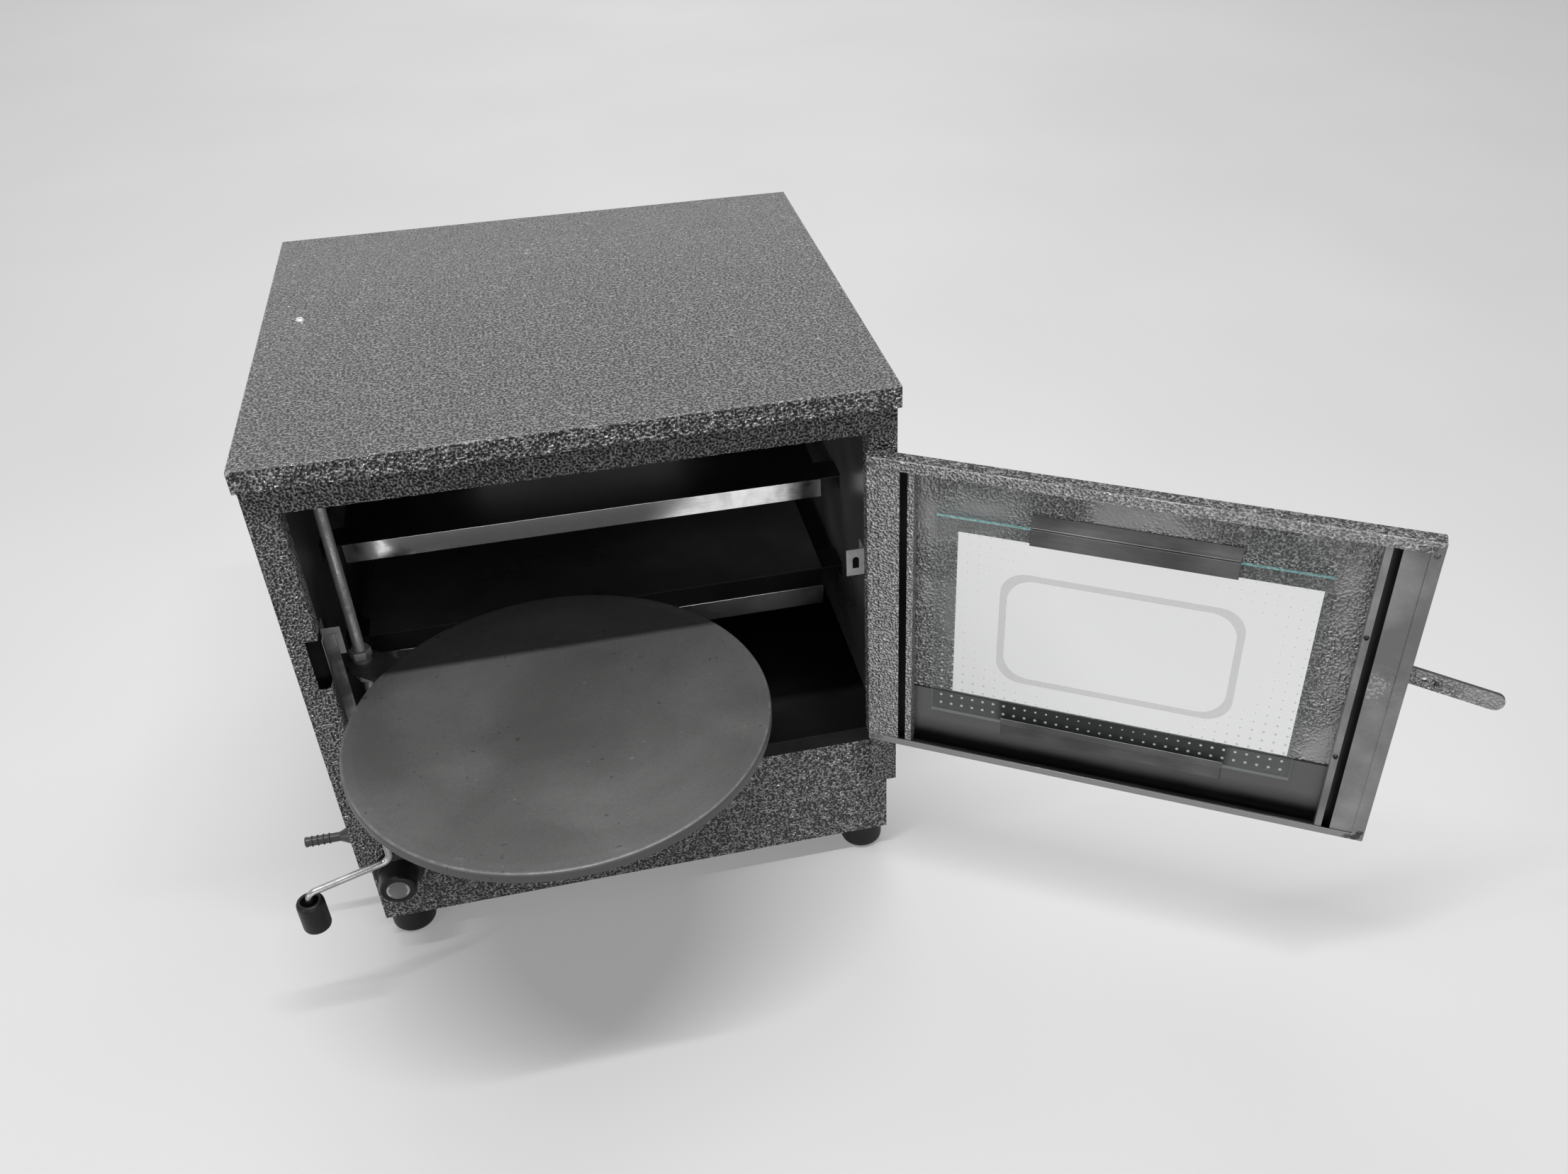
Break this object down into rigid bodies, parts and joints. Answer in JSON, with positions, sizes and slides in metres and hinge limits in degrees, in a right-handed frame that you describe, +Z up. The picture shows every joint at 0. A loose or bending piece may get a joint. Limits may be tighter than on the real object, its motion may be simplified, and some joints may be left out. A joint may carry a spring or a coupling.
{
  "type": "gas tandoor oven",
  "caption": "Counter-top gas tandoor oven: sheet-steel cabinet on rubber feet, side-hung glazed door with lever latch, and a spinning round baking plate on a swing arm with a handle.",
  "frame": {"origin": "on the floor, under the middle of the cabinet", "axes": "+X to the right of the front, +Y to the back, +Z up"},
  "size_m": [0.941, 0.7291, 0.5096],
  "materials": {
    "hammer_paint": "silver-black hammer-tone paint",
    "black_enamel": "semi-gloss black heat-proof paint",
    "stainless": "bright stainless sheet",
    "bare_steel": "bare galvanised and bright steel",
    "plate_iron": "seasoned iron plate with fine turning and small pits",
    "burner_iron": "cast iron",
    "brass": "turned brass",
    "pipe_alloy": "drawn aluminium tube",
    "glass": "clear toughened glass",
    "rubber": "moulded black rubber",
    "black_plastic": "moulded black heat-proof plastic"
  },
  "bodies": {
    "cabinet": {"apron": "hammer_paint", "back_panel": "hammer_paint", "back_screws": "stainless", "baffle_brackets": "black_enamel", "baffle_strip": "stainless", "base_back": "hammer_paint", "base_side_left": "hammer_paint", "base_side_right": "hammer_paint", "burner_baffle": "black_enamel", "burner_bars": "bare_steel", "foot_back_left": "rubber", "foot_back_right": "rubber", "foot_front_left": "rubber", "foot_front_right": "rubber", "gas_inlet": "hammer_paint", "gas_jet": "brass", "gas_pipe": "pipe_alloy", "gas_valve": "brass", "header": "hammer_paint", "heat_shield": "black_enamel", "hinge_leaves_cabinet": "bare_steel", "hinge_pins": "bare_steel", "jamb_strip": "stainless", "lid": "hammer_paint", "lid_screw": "stainless", "liner_back": "black_enamel", "liner_left": "black_enamel", "liner_right": "black_enamel", "oven_ceiling": "black_enamel", "oven_floor": "black_enamel", "post_bracket": "black_enamel", "post_flange": "black_enamel", "post_nuts": "bare_steel", "ring_burner": "burner_iron", "shield_brackets": "black_enamel", "shield_strip": "stainless", "side_panel_left": "hammer_paint", "side_panel_right": "hammer_paint", "swing_post": "bare_steel", "wall_tab_left": "stainless", "wall_tab_right": "stainless"},
    "door": {"door_pan": "hammer_paint", "door_stile_hinge": "bare_steel", "door_stile_free": "bare_steel", "door_lower_panel": "hammer_paint", "door_glass": "glass", "glass_clip": "bare_steel", "glass_rail": "bare_steel", "door_screws": "stainless", "hinge_leaves_door": "bare_steel", "latch_pivot": "bare_steel"},
    "latch": {"latch_lever": "bare_steel"},
    "swing_arm": {"swing_arm": "black_enamel", "arm_bush": "brass", "plate_pin": "bare_steel", "handle_rod": "stainless", "handle_grip": "black_plastic"},
    "baking_plate": {"baking_plate": "plate_iron"},
    "gas_knob": {"gas_knob": "black_plastic", "valve_stem": "bare_steel"}
  },
  "joints": [
    {"name": "door_hinge", "type": "hinge", "parent": "cabinet", "child": "door", "pos_m": [0.224, -0.2272, 0], "axis": [0, 0, 1], "range_deg": [-147.7, 0]},
    {"name": "plate_swing", "type": "hinge", "parent": "cabinet", "child": "swing_arm", "pos_m": [-0.214, -0.13, 0], "axis": [0, 0, 1], "range_deg": [0, 71]},
    {"name": "plate_spin", "type": "hinge", "parent": "swing_arm", "child": "baking_plate", "pos_m": [-0.05015, -0.26797, 0], "axis": [0, 0, 1], "continuous": true},
    {"name": "latch_lift", "type": "hinge", "parent": "door", "child": "latch", "pos_m": [0.56718, -0.44415, 0.334], "axis": [-0.5344, -0.8453, 0], "range_deg": [0, 20]},
    {"name": "knob_turn", "type": "hinge", "parent": "cabinet", "child": "gas_knob", "pos_m": [-0.215, -0.225, 0.09], "axis": [0, -1, 0], "range_deg": [0, 180]}
  ],
  "couplings": [
    {"joint": "plate_swing", "follows": "door_hinge", "ratio": -0.4807}
  ]
}
